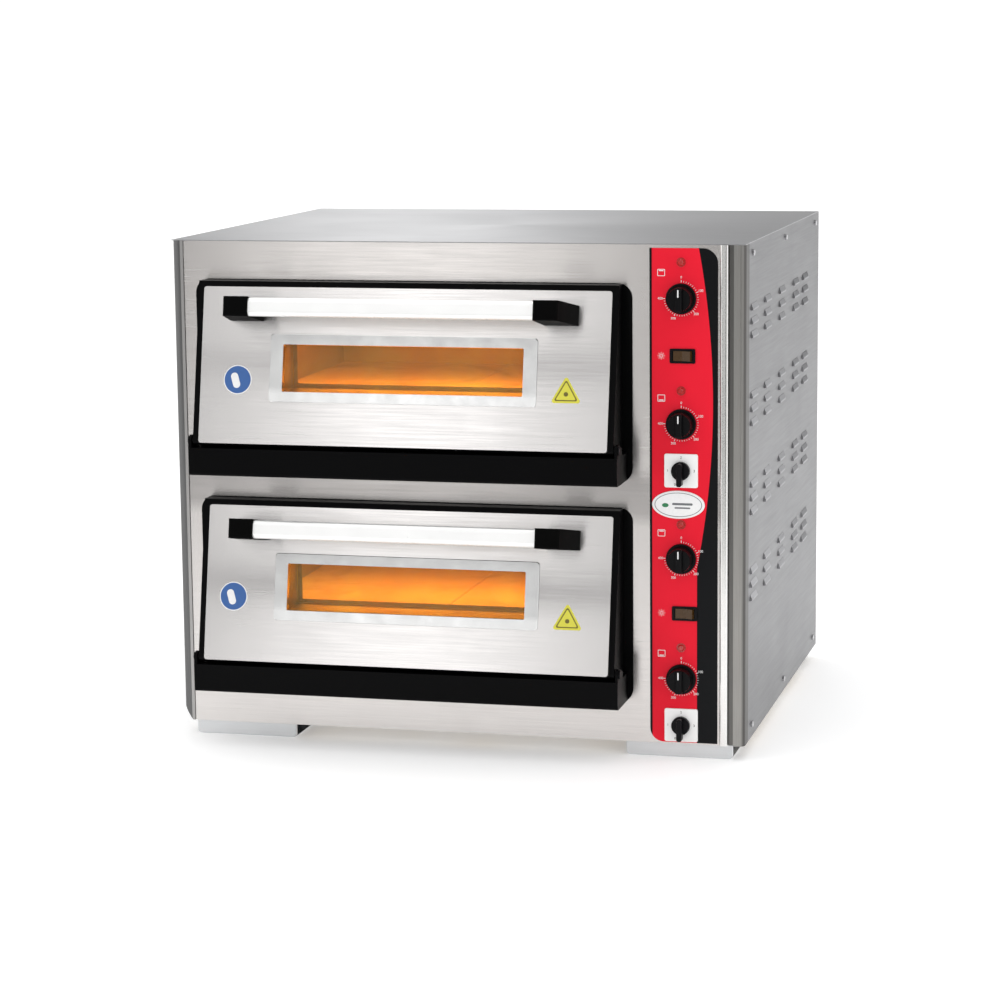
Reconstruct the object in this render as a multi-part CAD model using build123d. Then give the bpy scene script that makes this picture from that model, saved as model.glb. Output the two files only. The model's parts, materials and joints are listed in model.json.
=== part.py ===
from build123d import *
import math
import os

# Double-deck electric pizza oven for a counter.
# Model axes while building: x across the front (0 = middle of the cabinet), y into the oven
# (0 = front of the fascia), z up (0 = counter). Everything is moved back along y on export,
# so that the row's origin is the middle of the whole object's footprint.

# ---------------------------------------------------------------- driving dimensions, mm
cabinet_width = 860.0
cabinet_depth = 735.0
cabinet_height = 750.0
foot_height = 22.0
sheet = 1.2

deck_pitch = 325.0
decks = (("lower", 0.0), ("upper", deck_pitch))

# baking chamber of the lower deck, inside sizes
chamber_centre_x = -63.5
chamber_width = 590.0
chamber_depth = 621.0
chamber_floor_z = 127.0
chamber_height = 210.0
mouth_bottom_z = 170.0
flange_overlap = 18.0

stone_thickness = 14.0
stone_underside_z = 161.0
stone_front_y = 18.0
ledge_width = 18.0
front_ledge = 26.0
rib_half = 12.0
ledge_thickness = 2.0

element_radius = 4.0
element_bend_radius = 45.0
element_spacing = 190.0
element_end_y = 640.0
top_element_z = 318.0
bottom_element_z = 143.0

insulation_thickness = 25.0

# drop-down door of the lower deck
door_width = 631.0
door_top_z = 367.0
door_back_y = -3.0
panel_width = 613.0
panel_foot = (-74.0, 125.0)
panel_head = (-28.0, 359.0)
panel_roll_gap = 8.0
hinge_y = -64.0
hinge_z = 135.0
pin_radius = 4.0
running_clearance = 0.05
skin = 3.0
plug_clearance = 6.5
plug_reach_y = 12.0
plug_bottom_z = 176.0
plug_top_z = 327.0

window_width = 361.0
window_height = 69.4
window_slope_mid = 120.0
window_border = 20.0
glass_thickness = 4.0

handle_span = 494.0
handle_shift_x = -2.0
handle_along = 202.5
handle_stand_off = 79.0
bracket_width = 36.0
bracket_height = 29.0
bracket_flare = 14.0
handle_edge_radius = 3.0
bar_height = 27.0
bar_depth = 15.0
bar_setback = 4.0

# fixed black parts around each door
surround_box = (-393.0, 266.0, 80.0, 368.0)
fascia_hole = (-371.0, 244.0, 127.0, 355.0)
surround_radius = 21.0
opening_radius = 14.0
sill_bottom_z = 84.0
sill_top_z = 125.0
sill_front_y = -74.0
sill_round = 4.0
sill_skin = 2.0
ear_thickness = 4.0
ear_gap = 2.0

# fascia, trims and control strip
fascia_left_x = -412.0
fascia_right_x = 393.0
trim_depth = 30.0
trim_proud = 2.0
trim_wall = 2.0
strip_width = 12.6
strip_round = 4.2
overlay_box = (291.0, 390.0, 24.0, 744.0)
overlay_thickness = 0.8
overlay_top_radius = 22.0
overlay_foot_radius = 20.0
control_x = 337.0
thermostat_z = {"lower_bottom": 118.5, "lower_top": 296.0, "upper_bottom": 492.0, "upper_top": 672.0}
cam_switch_z = {"lower": 50.0, "upper": 424.5}
rocker_x = {"lower": 342.0, "upper": 339.0}
rocker_z = {"lower": 215.5, "upper": 590.0}
lamp_z = (165.0, 346.0, 540.0, 724.0)
badge_centre = (333.0, 375.0)
badge_size = (77.0, 41.0)
badge_thickness = 1.8
badge_round = 0.8

spindle_radius = 3.0
knob_radius = 22.0
plate_size = 49.0
rocker_radius = 13.96
rocker_tilt = 8.0
rocker_wall = 1.5
trunnion_radius = 1.5
rocker_body = (33.0, 18.0)
rocker_frame = (37.0, 21.0)
spindle_hole_radius = 5.0
lamp_hole_radius = 4.7
panel_fit = 0.2

gland_x = 360.0
gland_z = 80.0
gland_bore_radius = 6.5
gland_thread_radius = 10.0
gland_reach_y = 755.0

oven_lamp_y = 330.0
oven_lamp_z = 262.0
cup_radius = 24.0
lens_radius = 22.0

# ---------------------------------------------------------------- derived places
half_width = cabinet_width / 2
back_y = cabinet_depth
chamber_x0 = chamber_centre_x - chamber_width / 2
chamber_x1 = chamber_centre_x + chamber_width / 2
chamber_y0 = sheet
chamber_y1 = chamber_y0 + chamber_depth
chamber_roof_z = chamber_floor_z + chamber_height

door_x0 = chamber_centre_x - door_width / 2
door_x1 = chamber_centre_x + door_width / 2

slope_length = math.hypot(panel_head[0] - panel_foot[0], panel_head[1] - panel_foot[1])
slope_y = (panel_head[0] - panel_foot[0]) / slope_length
slope_z = (panel_head[1] - panel_foot[1]) / slope_length

# the rounded lower front edge of the handle arms is the foremost point of the object
edge_along = handle_along - bracket_height / 2 + handle_edge_radius
edge_off = handle_stand_off - handle_edge_radius
handle_front_y = panel_foot[0] + slope_y * edge_along - slope_z * edge_off - handle_edge_radius
origin_y = (handle_front_y + gland_reach_y) / 2


# ---------------------------------------------------------------- small helpers
def block(x0, x1, y0, y1, z0, z1):
    """Box between two corners."""
    return Pos((x0 + x1) / 2, (y0 + y1) / 2, (z0 + z1) / 2) * Box(x1 - x0, y1 - y0, z1 - z0)


def rounded_plate(x0, x1, y0, y1, z0, z1, radius):
    """Upright plate facing -y with four round corners."""
    outline = RectangleRounded(x1 - x0, z1 - z0, radius)
    plate = extrude(Plane.XZ * outline, y1 - y0)
    return Pos((x0 + x1) / 2, y1, (z0 + z1) / 2) * plate


def bore_y(x, z, radius, y0, y1):
    """Cylinder along y."""
    return Pos(x, (y0 + y1) / 2, z) * Rot(90, 0, 0) * Cylinder(radius, y1 - y0)


def bore_x(y, z, radius, x0, x1):
    """Cylinder along x."""
    return Pos((x0 + x1) / 2, y, z) * Rot(0, 90, 0) * Cylinder(radius, x1 - x0)


def side_profile(points, x0, x1):
    """Prism along x from an outline of (y, z) points."""
    outline = make_face(Polyline([(y, z) for y, z in points], close=True))
    return Pos(x0, 0, 0) * extrude(Plane.YZ * outline, x1 - x0)


def plan_profile(points, z0, z1):
    """Prism along z from an outline of (x, y) points."""
    outline = make_face(Polyline(points, close=True))
    return Pos(0, 0, z0) * extrude(outline, z1 - z0)


def group(shapes):
    """Several separate solids of one node."""
    return Compound([solid for shape in shapes for solid in shape.solids()])


def save(name, shape):
    """Write one node, moved into the row's frame."""
    export_step(Pos(0, -origin_y, 0) * shape, f"parts/{name}.step")


def up(shape, height):
    """Raise a piece of the lower deck to another deck."""
    return Pos(0, 0, height) * shape


# the door's sloping front: local x across, y up the slope, z outwards
front_plane = Plane(
    origin=(chamber_centre_x, panel_foot[0], panel_foot[1]),
    x_dir=(1, 0, 0),
    z_dir=(0, -slope_z, slope_y),
)


def on_slope(width, low, high, inner, outer, radius=0.0):
    """Plate centred on the door in x, from low to high along the slope, and inner to outer off it."""
    if radius > 0:
        outline = RectangleRounded(width, high - low, radius)
    else:
        outline = Rectangle(width, high - low)
    plate = Pos(0, (low + high) / 2, inner) * extrude(outline, outer - inner)
    return front_plane.location * plate


def slope_point(along, off):
    """(y, z) of a point a distance up the door's slope and off it."""
    y = panel_foot[0] + slope_y * along - slope_z * off
    z = panel_foot[1] + slope_z * along + slope_y * off
    return (y, z)


def slope_at_z(z, off):
    """(y, z) where the plane lying off the door's front passes a height."""
    along = (z - panel_foot[1] - slope_y * off) / slope_z
    return slope_point(along, off)


# ---------------------------------------------------------------- casing
louvre_length = 50.0
louvre_height = 10.0
louvre_rise = 3.0
louvre_columns = (71.0, 195.0, 335.0, 477.0, 578.0)
louvre_groups = ((613.0, 3), (486.0, 3), (356.0, 3), (229.0, 3))
louvre_pitch = 20.0
louvre_lip = 2.5
louvre_skin = 0.9
louvre_end_wall = 1.2
overcut = 0.5
screw_hole_play = 0.1
lip_hole_play = 0.2
stiffener_depth = 18.0
lip_height = 14.0
screw_side_y = (60.0, 370.0, 690.0)
screw_side_z = (42.0, 734.0)
screw_back_x = (-410.0, -140.0, 140.0, 410.0)
screw_back_z = (42.0, 730.0)
screw_radius = 2.0
screw_head_radius = 4.5
screw_head_height = 3.0
screw_head_round = 1.2
screw_reach = 6.0


def louvre(y, z, outer_x):
    """Pressed hood, open at its lower edge, and the hollow under it."""
    top = z + louvre_height / 2
    bottom = z - louvre_height / 2
    tip_x = outer_x + louvre_rise
    hood_outline = [(outer_x, top), (outer_x, bottom), (tip_x, bottom), (tip_x, bottom + louvre_lip)]
    inner_x = outer_x - sheet - overcut
    hollow_outline = [
        (inner_x, top - louvre_lip),
        (inner_x, bottom - overcut),
        (tip_x - louvre_skin, bottom - overcut),
        (tip_x - louvre_skin, bottom + louvre_lip - overcut),
        (outer_x - sheet / 2, top - louvre_lip),
    ]
    hood_face = Plane.XZ * make_face(Polyline(hood_outline, close=True))
    hollow_face = Plane.XZ * make_face(Polyline(hollow_outline, close=True))
    hollow_length = louvre_length - 2 * louvre_end_wall
    hood = Pos(0, y + louvre_length / 2, 0) * extrude(hood_face, louvre_length)
    hollow = Pos(0, y + hollow_length / 2, 0) * extrude(hollow_face, hollow_length)
    return hood, hollow


def side_panel(is_right):
    """Flat side sheet with a short return at the back; the right one has the louvres."""
    x1 = half_width
    x0 = half_width - sheet
    panel = block(x0, x1, trim_depth, back_y - sheet, foot_height, cabinet_height - sheet)
    lip_y = trim_depth + 4
    panel += block(x0 - stiffener_depth, x0, lip_y, lip_y + sheet, 60, 700)
    for y in screw_side_y:
        for z in screw_side_z:
            panel -= bore_x(y, z, screw_radius + screw_hole_play, x0 - 1, x1 + 1)
    if not is_right:
        return mirror(panel, Plane.YZ)
    hoods = []
    hollows = []
    for low_z, count in louvre_groups:
        for row in range(count):
            for y in louvre_columns:
                hood, hollow = louvre(y, low_z + 4 + row * louvre_pitch, x1)
                hoods.append(hood)
                hollows.append(hollow)
    return panel + hoods - hollows


def base_tray():
    """Bottom sheet with low upturned lips."""
    edge = half_width - sheet
    tray = block(-edge, edge, sheet, back_y - sheet, foot_height, foot_height + sheet)
    for x0, x1 in ((-edge - 1, fascia_left_x), (fascia_right_x, edge + 1)):
        tray -= block(x0, x1, 0, trim_depth, foot_height - 1, foot_height + 3)
    lip_top = foot_height + lip_height
    tray += block(-edge, -edge + sheet, trim_depth + 2, back_y - sheet, foot_height, lip_top)
    tray += block(edge - sheet, edge, trim_depth + 2, back_y - sheet, foot_height, lip_top)
    tray += block(-edge, edge, back_y - 2 * sheet, back_y - sheet, foot_height, lip_top)
    for sign in (-1, 1):
        for y in screw_side_y:
            ends = (sign * edge - 3, sign * edge + 3)
            tray -= bore_x(y, screw_side_z[0], screw_radius + lip_hole_play, *ends)
    return tray


def feet():
    """Four folded channel feet with a rolled lower edge and round ends."""
    solids = []
    length = 88.0
    plate = 2.5
    roll = 6.0
    outer_x = 412.0
    inner_x = 253.0
    inset = 6.0
    for sign in (-1, 1):
        x0, x1 = sorted((sign * outer_x, sign * inner_x))
        for y0 in (inset, back_y - inset - length):
            y1 = y0 + length
            foot = block(x0, x1, y0, y1, 0, foot_height)
            foot = fillet(foot.edges().filter_by(Axis.Y).group_by(Axis.Z)[0], roll)
            foot = fillet(foot.edges().filter_by(Axis.X).group_by(Axis.Z)[0], plate)
            foot -= block(x0 - 1, x1 + 1, y0 + plate, y1 - plate, plate, foot_height - plate)
            solids.append(foot)
    return group(solids)


def top_cover():
    """Lid sheet with short lips that drop inside the side panels."""
    front_lap = 1.5
    cover = block(-half_width, half_width, -front_lap, back_y, cabinet_height - sheet, cabinet_height)
    lip_z = cabinet_height - lip_height
    edge = half_width - sheet
    cover += block(-edge, -edge + sheet, trim_depth + 10, back_y - 8, lip_z, cabinet_height - sheet)
    cover += block(edge - sheet, edge, trim_depth + 10, back_y - 8, lip_z, cabinet_height - sheet)
    for sign in (-1, 1):
        for y in screw_side_y:
            ends = (sign * edge - 3, sign * edge + 3)
            cover -= bore_x(y, screw_side_z[1], screw_radius + lip_hole_play, *ends)
    return cover


def back_panel():
    """Rear sheet with vent slots behind the control compartment and the cable entry."""
    z1 = cabinet_height - sheet
    panel = block(-half_width, half_width, back_y - sheet, back_y, foot_height, z1)
    y0, y1 = back_y - 5, back_y + 5
    slot_half_length = 19.0
    slot_height = 5.0
    slot_pitch = 16.0
    holes = []
    for row in range(8):
        z = 520 + row * slot_pitch
        for x in (335.0, 385.0):
            x0, x1 = x - slot_half_length, x + slot_half_length
            holes.append(rounded_plate(x0, x1, y0, y1, z, z + slot_height, 2.4))
    holes.append(bore_y(gland_x, gland_z, gland_thread_radius + 0.2, y0, y1))
    for x in screw_back_x:
        for z in screw_back_z:
            holes.append(bore_y(x, z, screw_radius + screw_hole_play, y0, y1))
    return panel - holes


def casing_screws():
    """Pan-head screws of the side panels and the back."""
    solids = []
    for sign in (-1, 1):
        for y in screw_side_y:
            for z in screw_side_z:
                head = bore_x(y, z, screw_head_radius, 0, screw_head_height)
                head = fillet(head.edges().group_by(Axis.X)[-1], screw_head_round)
                screw = head + bore_x(y, z, screw_radius, -screw_reach, overcut)
                if sign < 0:
                    screw = mirror(screw, Plane.YZ)
                solids.append(Pos(sign * half_width, 0, 0) * screw)
    for x in screw_back_x:
        for z in screw_back_z:
            head = bore_y(x, z, screw_head_radius, back_y, back_y + screw_head_height)
            head = fillet(head.edges().group_by(Axis.Y)[-1], screw_head_round)
            solids.append(head + bore_y(x, z, screw_radius, back_y - screw_reach, back_y + overcut))
    return group(solids)


# ---------------------------------------------------------------- front of the casing
def control_holes(radius_gain, y0, y1):
    """Cutters for everything that passes through the control strip."""
    cutters = []
    for z in thermostat_z.values():
        cutters.append(bore_y(control_x, z, spindle_hole_radius + radius_gain, y0, y1))
    for z in cam_switch_z.values():
        cutters.append(bore_y(control_x, z, spindle_hole_radius + radius_gain, y0, y1))
    for z in lamp_z:
        cutters.append(bore_y(control_x, z, lamp_hole_radius, y0, y1))
    half_length = rocker_body[0] / 2 + panel_fit
    half_height = rocker_body[1] / 2 + panel_fit
    for deck, z in rocker_z.items():
        x = rocker_x[deck]
        cutters.append(block(x - half_length, x + half_length, y0, y1, z - half_height, z + half_height))
    return cutters


def front_fascia():
    """Front sheet with two chamber openings and the control holes."""
    z1 = cabinet_height - sheet
    fascia = block(fascia_left_x, fascia_right_x, 0, sheet, foot_height, z1)
    x0, x1, low, high = fascia_hole
    holes = [rounded_plate(x0, x1, -5, 5, low + dz, high + dz, opening_radius) for _, dz in decks]
    return fascia - holes - control_holes(0.0, -5, 5)


def control_overlay():
    """Printed film over the control zone, with round corners."""
    x0, x1, z0, z1 = overlay_box
    film = block(x0, x1, -overlay_thickness, 0, z0, z1)
    upright = film.edges().filter_by(Axis.Y)
    film = fillet(upright.group_by(Axis.Z)[-1].group_by(Axis.X)[-1], overlay_top_radius)
    lower_left = film.edges().filter_by(Axis.Y).group_by(Axis.Z)[0].group_by(Axis.X)[0]
    film = fillet(lower_left, overlay_foot_radius)
    return film - control_holes(0.5, -5, 5)


def oval_badge():
    """Blank domed oval plate."""
    x, z = badge_centre
    oval = Plane.XZ * Ellipse(badge_size[0] / 2, badge_size[1] / 2)
    plate = Pos(x, -overlay_thickness, z) * extrude(oval, badge_thickness)
    return fillet(plate.edges().group_by(Axis.Y)[0], badge_round)


def left_edge_trim():
    """Folded corner profile at the left of the fascia, round outside and cut back at its foot."""
    x0 = -half_width
    x1 = fascia_left_x
    z1 = cabinet_height - sheet
    body = block(x0, x1, -trim_proud, trim_depth, foot_height, z1)
    front_edge = body.edges().filter_by(Axis.Z).group_by(Axis.Y)[0].group_by(Axis.X)[0]
    corner_radius = 12.0
    body = fillet(front_edge, corner_radius)
    hollow = block(x0 + trim_wall, x1 - trim_wall, trim_wall - trim_proud, trim_depth + 1,
                   foot_height - 1, z1 + 1)
    hollow_edge = hollow.edges().filter_by(Axis.Z).group_by(Axis.Y)[0].group_by(Axis.X)[0]
    body -= fillet(hollow_edge, corner_radius - trim_wall)
    cut_height = 24.0
    corner = [(x0 - 1, foot_height - 1), (x1 - 3, foot_height - 1), (x0 - 1, foot_height + cut_height)]
    cutter = Plane.XZ * make_face(Polyline(corner, close=True))
    return body - Pos(0, trim_depth + 1, 0) * extrude(cutter, 2 * trim_depth)


def chrome_trim_strip():
    """Bright half-round strip beside the control zone."""
    x0 = fascia_right_x
    proud = 4.5
    depth = 6.0
    strip = block(x0, x0 + strip_width, -proud, depth, foot_height, cabinet_height - sheet)
    return fillet(strip.edges().filter_by(Axis.Z).group_by(Axis.Y)[0], strip_round)


def right_edge_trim():
    """Folded corner profile at the right of the fascia: a shallow groove, a raised land, a round edge."""
    x0 = fascia_right_x + strip_width + 0.4
    x1 = half_width
    z0 = foot_height
    z1 = cabinet_height - sheet
    body = block(x0, x1, -trim_proud, trim_depth, z0, z1)
    outer_edge = body.edges().filter_by(Axis.Z).group_by(Axis.Y)[0].group_by(Axis.X)[-1]
    corner_radius = 8.0
    body = fillet(outer_edge, corner_radius)
    groove_depth = 4.0
    groove_width = 7.0
    body -= block(x0 - 1, x0 + groove_width, -trim_proud - 1, groove_depth - trim_proud, z0 - 1, z1 + 1)
    hollow_y = groove_depth + trim_wall - trim_proud
    return body - block(x0 + trim_wall, x1 - trim_wall, hollow_y, trim_depth + 1, z0 - 1, z1 + 1)


def door_surround():
    """Thin black flange around one chamber opening."""
    x0, x1, z0, z1 = surround_box
    ring = rounded_plate(x0, x1, -sheet, 0, z0, z1, surround_radius)
    hx0, hx1, hz0, hz1 = fascia_hole
    return ring - rounded_plate(hx0, hx1, -5, 5, hz0, hz1, opening_radius)


def hinge_sill():
    """Folded black box under the door whose end plates carry the hinge pins."""
    x0 = door_x0 - ear_gap - ear_thickness
    x1 = door_x1 + ear_gap + ear_thickness
    y1 = -sheet
    box = block(x0, x1, sill_front_y, y1, sill_bottom_z, sill_top_z)
    box = fillet(box.edges().filter_by(Axis.X).group_by(Axis.Y)[0].group_by(Axis.Z)[0], sill_round)
    box -= block(x0 + ear_thickness, x1 - ear_thickness, sill_front_y + sill_skin, y1 + 1,
                 sill_bottom_z + sill_skin, sill_top_z - sill_skin)
    lug_radius = 8.5
    web_y = hinge_y + 26
    for ear_x in (x0, x1 - ear_thickness):
        ear = block(ear_x, ear_x + ear_thickness, hinge_y - lug_radius, web_y, sill_top_z - 1, hinge_z)
        ear += bore_x(hinge_y, hinge_z, lug_radius, ear_x, ear_x + ear_thickness)
        web = [(hinge_y, hinge_z + lug_radius), (web_y, hinge_z), (hinge_y, hinge_z)]
        box += ear + side_profile(web, ear_x, ear_x + ear_thickness)
    return box - bore_x(hinge_y, hinge_z, pin_radius + running_clearance, x0 - 1, x1 + 1)


# ---------------------------------------------------------------- baking chamber
def element_legs():
    """x places of the hairpin legs."""
    places = []
    for index in (-1, 0, 1):
        middle = chamber_centre_x + index * element_spacing
        places.append((middle - element_bend_radius, middle + element_bend_radius))
    return places


def chamber_shell():
    """Muffle with a front flange, a lip under the mouth and the ledges that carry the stones."""
    x0, x1 = chamber_x0, chamber_x1
    z0, z1 = chamber_floor_z, chamber_roof_z
    shell = block(x0 - sheet, x1 + sheet, chamber_y0, chamber_y1 + sheet, z0 - sheet, z1 + sheet)
    shell -= block(x0, x1, chamber_y0 + sheet, chamber_y1, z0, z1)
    shell -= block(x0, x1, chamber_y0 - 1, chamber_y0 + sheet + 1, mouth_bottom_z, z1)
    flange = block(x0 - flange_overlap, x1 + flange_overlap, chamber_y0, chamber_y0 + sheet,
                   z0 - 6, z1 + flange_overlap)
    flange -= block(x0, x1, chamber_y0 - 1, chamber_y0 + sheet + 1, z0, z1)
    shell += flange
    ledge_z0 = stone_underside_z - ledge_thickness
    y0 = chamber_y0 + sheet
    shell += block(x0, x0 + ledge_width, y0, chamber_y1, ledge_z0, stone_underside_z)
    shell += block(x1 - ledge_width, x1, y0, chamber_y1, ledge_z0, stone_underside_z)
    shell += block(x0, x1, y0, y0 + front_ledge, ledge_z0, stone_underside_z)
    shell += block(x0, x1, chamber_y1 - ledge_width, chamber_y1, ledge_z0, stone_underside_z)
    middle = chamber_centre_x
    shell += block(middle - rib_half, middle + rib_half, y0, chamber_y1, ledge_z0, stone_underside_z)
    for left, right in element_legs():
        for z in (top_element_z, bottom_element_z):
            for x in (left, right):
                shell -= bore_y(x, z, element_radius + 0.4, chamber_y1 - 5, chamber_y1 + 5)
    return shell - bore_x(oven_lamp_y, oven_lamp_z, lens_radius + 0.3, x1 - 5, x1 + 5)


def baking_stones():
    """Two firebrick plates side by side."""
    solids = []
    gap = 1.0
    middle = chamber_centre_x
    for x0, x1 in ((chamber_x0 + gap, middle - gap / 2), (middle + gap / 2, chamber_x1 - gap)):
        stone = block(x0, x1, stone_front_y, chamber_y1 - gap, stone_underside_z,
                      stone_underside_z + stone_thickness)
        solids.append(chamfer(stone.edges().group_by(Axis.Z)[-1], 1.5))
    return group(solids)


def hairpin(left, right, z):
    """One bent heating tube: two legs and a half-round bend."""
    middle = (left + right) / 2
    bend_y = chamber_y0 + element_bend_radius + 32
    tube = bore_y(left, z, element_radius, bend_y, element_end_y)
    tube += bore_y(right, z, element_radius, bend_y, element_end_y)
    ring = Torus(element_bend_radius, element_radius)
    half = ring & block(-80, 80, -80, 0, -10, 10)
    return tube + Pos(middle, bend_y, z) * half


def heating_elements():
    """Three hairpins under the roof and three under the stones."""
    solids = []
    for z in (top_element_z, bottom_element_z):
        for left, right in element_legs():
            solids.append(hairpin(left, right, z))
    return group(solids)


def oven_lamp_housing():
    """Lamp cup outside the right wall of the chamber."""
    x0 = chamber_x1 + sheet
    depth = 34.0
    wall = 3.0
    cup = bore_x(oven_lamp_y, oven_lamp_z, cup_radius, x0, x0 + depth)
    return cup - bore_x(oven_lamp_y, oven_lamp_z, cup_radius - wall, x0 - 1, x0 + depth - 2 * wall)


def oven_lamp_lens():
    """Round glass that closes the lamp's hole in the wall."""
    lens = bore_x(oven_lamp_y, oven_lamp_z, lens_radius, chamber_x1 - 6, chamber_x1 + sheet)
    return fillet(lens.edges().group_by(Axis.X)[0], 4)


def door_seal():
    """Flat woven seal on the chamber's flange, around the mouth."""
    wide = 6.0
    gap = 2.0
    x0, x1 = chamber_x0 - gap, chamber_x1 + gap
    z0, z1 = mouth_bottom_z - gap, chamber_roof_z + gap
    y0, y1 = door_back_y + 0.6, chamber_y0
    ring = rounded_plate(x0 - wide, x1 + wide, y0, y1, z0 - wide, z1 + wide, 8)
    return ring - rounded_plate(x0, x1, y0 - 1, y1 + 1, z0, z1, 2)


def deck_insulation():
    """Mineral wool around one chamber: above, below, left, right and behind."""
    x0, x1 = chamber_x0 - sheet, chamber_x1 + sheet
    z0, z1 = chamber_floor_z - sheet, chamber_roof_z + sheet
    y0, y1 = chamber_y0 + sheet + 16, chamber_y1 + sheet
    thick = insulation_thickness
    right = block(x1, x1 + thick, y0, y1, z0, z1)
    right -= bore_x(oven_lamp_y, oven_lamp_z, cup_radius + 2, x1 - 1, x1 + thick + 1)
    return [
        block(x0 - thick, x1 + thick, y0, y1, z1, z1 + thick),
        block(x0 - thick, x1 + thick, y0, y1, z0 - thick, z0),
        block(x0 - thick, x0, y0, y1, z0, z1),
        right,
        block(x0, x1, element_end_y + 4, element_end_y + 4 + thick, z0, z1),
    ]


# ---------------------------------------------------------------- control compartment
def control_partition():
    """Heat shield between the chambers and the controls."""
    x0 = 283.0
    y0, y1 = 10.0, back_y - 10
    flange_width = 20.0
    wall = block(x0, x0 + sheet, y0, y1, foot_height + sheet, cabinet_height - sheet)
    return wall + block(x0, x0 + flange_width, y0, y1, foot_height + sheet, foot_height + 2 * sheet)


def thermostat_bodies():
    """Four thermostats behind the fascia, each with a bore for its knob's spindle."""
    solids = []
    for z in thermostat_z.values():
        body = block(control_x - 17, control_x + 17, sheet, 34, z - 22, z + 22)
        body += block(control_x - 12, control_x + 12, 34, 42, z - 14, z + 14)
        bore = bore_y(control_x, z, spindle_radius + running_clearance, sheet - 1, 20)
        solids.append(body - bore)
    return group(solids)


def cam_switch_bodies():
    """Two stacked cam switches behind the fascia."""
    solids = []
    for z in cam_switch_z.values():
        body = block(control_x - 20, control_x + 20, sheet, 24, z - 20, z + 20)
        for step in range(3):
            y0 = 24 + step * 12
            body += block(control_x - 18, control_x + 18, y0, y0 + 11, z - 18, z + 18)
            body += block(control_x - 16, control_x + 16, y0 + 10, y0 + 12, z - 16, z + 16)
        bore = bore_y(control_x, z, spindle_radius + running_clearance, sheet - 1, 18)
        solids.append(body - bore)
    return group(solids)


def cam_switch_plates():
    """Two square face plates with a hole for the spindle."""
    solids = []
    half = plate_size / 2
    y1 = -overlay_thickness
    for z in cam_switch_z.values():
        plate = rounded_plate(control_x - half, control_x + half, y1 - 2.6, y1, z - half, z + half, 3)
        plate = fillet(plate.edges().group_by(Axis.Y)[0], 0.8)
        solids.append(plate - bore_y(control_x, z, 4.5, -10, 5))
    return group(solids)


def rocker_frames():
    """Two rocker switch frames with their bodies behind the fascia."""
    solids = []
    for deck, z in rocker_z.items():
        x = rocker_x[deck]
        outer_x, outer_z = rocker_frame[0] / 2, rocker_frame[1] / 2
        body_x, body_z = rocker_body[0] / 2, rocker_body[1] / 2
        well_x, well_z = body_x - rocker_wall - overcut, body_z - rocker_wall
        frame = rounded_plate(x - outer_x, x + outer_x, -2.6, -overlay_thickness,
                              z - outer_z, z + outer_z, 2)
        frame += block(x - body_x, x + body_x, -overlay_thickness, 24, z - body_z, z + body_z)
        frame -= block(x - well_x, x + well_x, -5, 18, z - well_z, z + well_z)
        trunnion = Pos(x, 1, z) * Cylinder(trunnion_radius + running_clearance, 20)
        solids.append(frame - trunnion)
    return group(solids)


def indicator_lamps():
    """Four pilot lamps with domed lenses."""
    solids = []
    for z in lamp_z:
        lamp = bore_y(control_x, z, 6.5, -overlay_thickness - 1.5, -overlay_thickness)
        lamp += bore_y(control_x, z, 4.4, -overlay_thickness, 26)
        dome = Pos(control_x, -overlay_thickness - 1.5, z) * Sphere(5.2)
        dome &= bore_y(control_x, z, 6, -overlay_thickness - 5.5, -overlay_thickness - 1)
        solids.append(lamp + dome)
    return group(solids)


def thermostat_knob(z):
    """Skirted knob with a raised grip bar and its spindle."""
    back = -2.0
    skirt = bore_y(control_x, z, knob_radius, back - 4, back)
    skirt = fillet(skirt.edges().group_by(Axis.Y)[0], 1.5)
    drum = Pos(control_x, back - 11.0, z) * Rot(90, 0, 0) * Cone(18.5, 16.5, 14)
    grip = block(control_x - 5, control_x + 5, back - 25, back - 6, z - 17.5, z + 17.5)
    grip &= bore_y(control_x, z, 17.5, back - 30, back)
    grip = fillet(grip.edges().group_by(Axis.Y)[0], 2)
    spindle = bore_y(control_x, z, spindle_radius, back - 6, 18)
    return skirt + drum + grip + spindle


def cam_switch_knob(z):
    """Small round knob with a pointer lever that hangs down at zero."""
    back = -overlay_thickness - 2.6 - 0.8
    disc = bore_y(control_x, z, 13.5, back - 7, back)
    disc = fillet(disc.edges().group_by(Axis.Y)[0], 2)
    lever = block(control_x - 4, control_x + 4, back - 18, back - 5, z - 21, z + 12)
    lever = fillet(lever.edges().filter_by(Axis.Y), 3.5)
    lever = fillet(lever.edges().group_by(Axis.Y)[0], 1.5)
    spindle = bore_y(control_x, z, spindle_radius, back - 5, 16)
    return disc + lever + spindle


def rocker(deck):
    """Rocker with two sloping faces, turning on short trunnions, resting on its off side."""
    reach = 12.6
    outline = [
        (-reach, -6.0), (0, -3.6), (reach, -6.0), (rocker_radius, 0), (reach, 6.0),
        (6, 9), (-6, 9), (-reach, 6.0), (-rocker_radius, 0),
    ]
    half = 7.1
    button = plan_profile(outline, -half, half)
    button += Cylinder(trunnion_radius, 2 * half + 2.4)
    return Pos(rocker_x[deck], 1, rocker_z[deck]) * Rot(0, 0, -rocker_tilt) * button


def terminal_block():
    """Mains terminals on the inside of the back panel."""
    y1 = back_y - sheet
    block_base = block(300, 400, y1 - 14, y1, 104, 140)
    for index in range(5):
        x = 310 + index * 20
        block_base += block(x - 7, x + 7, y1 - 26, y1 - 14, 108, 136)
        block_base -= bore_y(x, 122, 3, y1 - 30, y1 - 18)
    return block_base


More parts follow.
